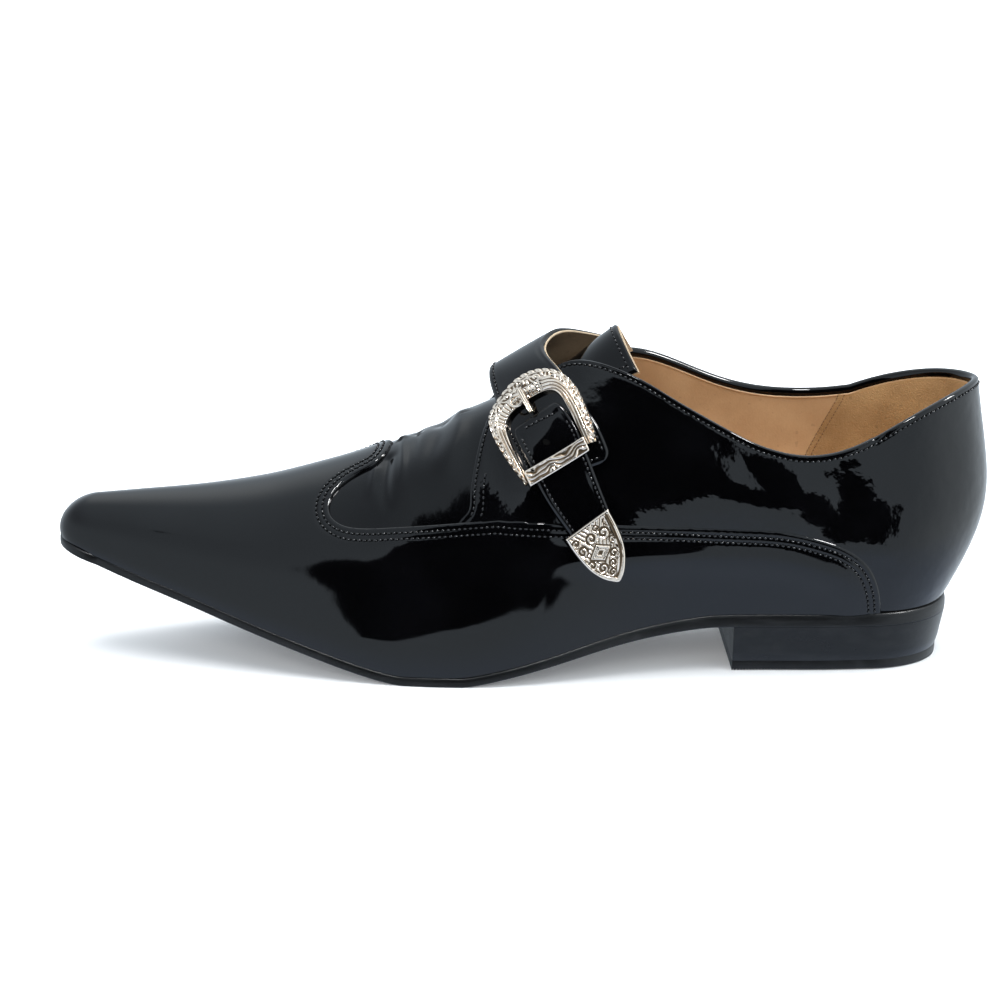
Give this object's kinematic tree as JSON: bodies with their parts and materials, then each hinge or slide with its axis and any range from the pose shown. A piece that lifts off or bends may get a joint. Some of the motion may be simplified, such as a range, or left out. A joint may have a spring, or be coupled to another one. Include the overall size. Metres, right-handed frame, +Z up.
{
  "type": "monk strap dress shoe",
  "caption": "Left pointed-toe dress shoe in black patent leather, with a low heel and a fastened instep strap whose western buckle set has an arched frame, keeper and metal tip.",
  "frame": {"origin": "on the floor, below the middle of the shoe's bounding box", "axes": "+X from the toe to the heel, +Y to the inner side of the foot, +Z up"},
  "size_m": [0.3032, 0.0894, 0.1084],
  "materials": {
    "patent_leather": "glossy patent",
    "sole_edge": "satin black edge",
    "heel_stack": "satin black stack",
    "top_lift_rubber": "matt",
    "tan_lining": "matt",
    "nickel": "engraved, with darkened recesses"
  },
  "bodies": {
    "root": {"upper": "patent_leather", "tongue": "patent_leather", "strap": "patent_leather", "billet": "patent_leather", "outsole": "sole_edge", "heel": "heel_stack", "top_lift": "top_lift_rubber", "insole": "tan_lining", "buckle_frame": "nickel", "buckle_prong": "nickel", "keeper": "nickel", "strap_tip": "nickel"}
  },
  "joints": []
}
